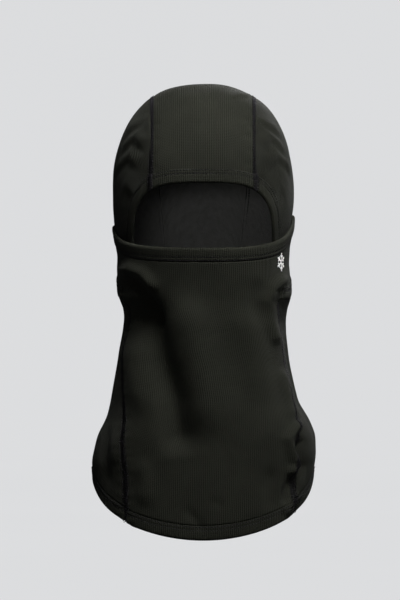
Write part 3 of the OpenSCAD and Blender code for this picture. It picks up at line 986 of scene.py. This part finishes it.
def make_seams():
    """The flatlock seams of the drape: one down each side, and one round the nape."""
    made = []
    for side, name in SIDES:
        z = np.linspace(JAW - 2 * MM, hem_z(seam_phi(np.array(BIB + 20 * MM), side)) + 2 * MM, 400)
        points, n = drape.place(seam_phi(z, side), z)
        made.append(dressed(flatlock(f"side_flatlock_{name}", points + n * 0.3 * MM, n, THREAD, SIDE_SEAM),
                            "seam_thread", f"side_seam_{name}"))
    phi = np.linspace(118, 242, 300)
    points, n = drape.place(phi, JAW + 1.5 * MM)
    made.append(dressed(flatlock("nape_flatlock", points + n * 0.3 * MM, n, THREAD),
                        "seam_thread", "nape_seam"))
    return made


CHEEK_RADIUS = 82 * MM


def bar(centre, start, end, width):
    """A thin printed bar between two points of the print, given in metres across and up."""
    lead = np.array(end) - np.array(start)
    side = np.array([-lead[1], lead[0]]) / np.linalg.norm(lead) * width / 2
    u, v = np.meshgrid(np.linspace(0, 1, 7), np.linspace(-1, 1, 3), indexing="ij")
    flat = np.array(start) + u[..., None] * lead + v[..., None] * side
    phi = centre[0] + np.degrees(flat[..., 0] / CHEEK_RADIUS)
    points, n = drape.place(phi, centre[1] + flat[..., 1])
    cloth = Cloth(points + n * 0.22 * MM)
    return shell("snowflake", cloth, PRINT, PRINT, thick=0.2 * MM)


def make_print():
    """A plain six-armed snowflake on the wearer's left cheek."""
    z = -59 * MM
    centre = (phi_at(np.array(69 * MM), front_size(np.array(z))), z)
    bars = []
    for arm in range(6):
        turn = math.radians(60 * arm + 30)
        out = np.array([math.cos(turn), math.sin(turn)])
        bars.append(bar(centre, out * 0.9 * MM, out * 8 * MM, 1.3 * MM))
        fork = out * 4.4 * MM
        for lean in (-1, 1):
            twig_turn = turn + lean * math.pi / 3
            twig = np.array([math.cos(twig_turn), math.sin(twig_turn)])
            bars.append(bar(centre, fork, fork + twig * 2.7 * MM, 1.1 * MM))
    return dressed(join("snowflake_print", bars), "white_print", "cheek_print")


def make_label():
    """A blank woven label, sewn inside the back of the neck."""
    u, v = lattice(10, 14)
    z = mix(-141 * MM, -109 * MM, v)
    phi = 180 + (u - 0.5) * 16
    points, n = drape.place(phi, z)
    curl = 1.2 * MM * (1 - v) ** 2
    cloth = Cloth(points - n * (2.6 * MM + curl)[..., None])
    return dressed(shell("blank_label", cloth, LABEL, LABEL, thick=0.35 * MM), "woven_label", "care_label")


# ---------- build ----------

hood_pieces = make_hood()
front_main, mask_hem, front_hem, mask_rows, front_lines = make_front()
back_main, back_hem, back_lines = make_back()
bottom_rows = dressed(stitch_rows("bottom_stitches", front_lines + back_lines, THREAD),
                      "seam_thread", "bottom_coverstitch")
wing_left = make_wing_hem(1, "left")
wing_right = make_wing_hem(-1, "right")
seams = make_seams()
label = make_label()
snowflake = make_print()

# The hood is sewn to the neck round the nape. Its pieces and the front cloth stay where they are built; the
# mask's pieces go on a mask body, the drape's on a neck body.
for piece in hood_pieces:
    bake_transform(piece)
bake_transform(front_main)
for piece in (mask_hem, mask_rows, snowflake, *wing_left, *wing_right):
    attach(piece, "mask")
for piece in (front_hem, back_main, back_hem, bottom_rows, label, *seams):
    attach(piece, "neck")


# ---------- floor, light and camera ----------

STUDIO = 12.0                               # radius of the dome round the scene
VIEW = 534 * MM                             # height of the camera's view, at the object


def make_stage():
    """A pale floor inside a wide pale dome, which is seen but doesn't light the cloth."""
    m = Nodes("studio_grey")
    place = m.add("ShaderNodeTexCoord").outputs["Object"]
    colour = m.ramp(m.noise(place, 0.6), (0.3, (0.722, 0.729, 0.742)), (0.7, (0.730, 0.737, 0.750)))
    m.link(colour, m.shader.inputs["Emission Color"])
    m.shader.inputs["Base Color"].default_value = (0.05, 0.05, 0.05, 1)
    m.set(Roughness=1.0, Specular_IOR_Level=0.0, Emission_Strength=0.98)
    bpy.ops.mesh.primitive_uv_sphere_add(segments=48, ring_count=24, radius=STUDIO)
    dome = bpy.context.object
    bpy.ops.mesh.primitive_plane_add(size=2 * STUDIO, location=(0, 0, cad_low.z - 0.25))
    floor = bpy.context.object
    for piece, name in ((dome, "studio_dome"), (floor, "studio_floor")):
        piece.name = name
        piece.data.materials.append(m.material)
        piece.visible_diffuse = False
        piece.visible_glossy = False
        piece.visible_shadow = False


def area_light(name, place, size, power, target=(0, 0, -0.1), spread=180):
    """A soft lamp that faces the target, with its beam spread over that many degrees."""
    data = bpy.data.lights.new(name, "AREA")
    data.spread = math.radians(spread)
    data.shape = "RECTANGLE"
    data.size, data.size_y = size
    data.energy = power
    lamp = bpy.data.objects.new(name, data)
    lamp.location = place
    lamp.rotation_mode = "QUATERNION"
    lamp.rotation_quaternion = (Vector(place) - Vector(target)).to_track_quat("Z", "Y")
    bpy.context.scene.collection.objects.link(lamp)


def make_camera():
    """A distant camera straight in front, with a small shift to the wearer's right."""
    data = bpy.data.cameras.new("camera")
    data.lens = 350
    data.sensor_width = 36
    data.sensor_fit = "AUTO"
    camera = bpy.data.objects.new("camera", data)
    distance = VIEW * data.lens / data.sensor_width
    camera.location = (-0.005 * VIEW, -distance, CROWN - 0.36 * VIEW)
    camera.rotation_euler = (math.pi / 2, 0, 0)
    bpy.context.scene.collection.objects.link(camera)
    bpy.context.scene.camera = camera


def make_world():
    """A faint even light from all round."""
    world = bpy.data.worlds.new("studio")
    world.use_nodes = True
    world.node_tree.nodes["Background"].inputs[0].default_value = (0.72, 0.73, 0.75, 1)
    world.node_tree.nodes["Background"].inputs[1].default_value = 0.1
    bpy.context.scene.world = world


make_stage()
area_light("key", (2.1, -0.9, 0.9), (0.7, 0.9), 12)
area_light("top", (0.3, -0.75, 1.05), (0.7, 0.4), 5.2, target=(0, -0.05, 0.14), spread=55)
area_light("front", (-0.3, -2.8, 0.05), (0.5, 0.3), 5)
area_light("back", (0.5, 2.3, 0.9), (1.0, 1.0), 36)
make_world()
bpy.context.scene.view_settings.view_transform = "Standard"
make_camera()
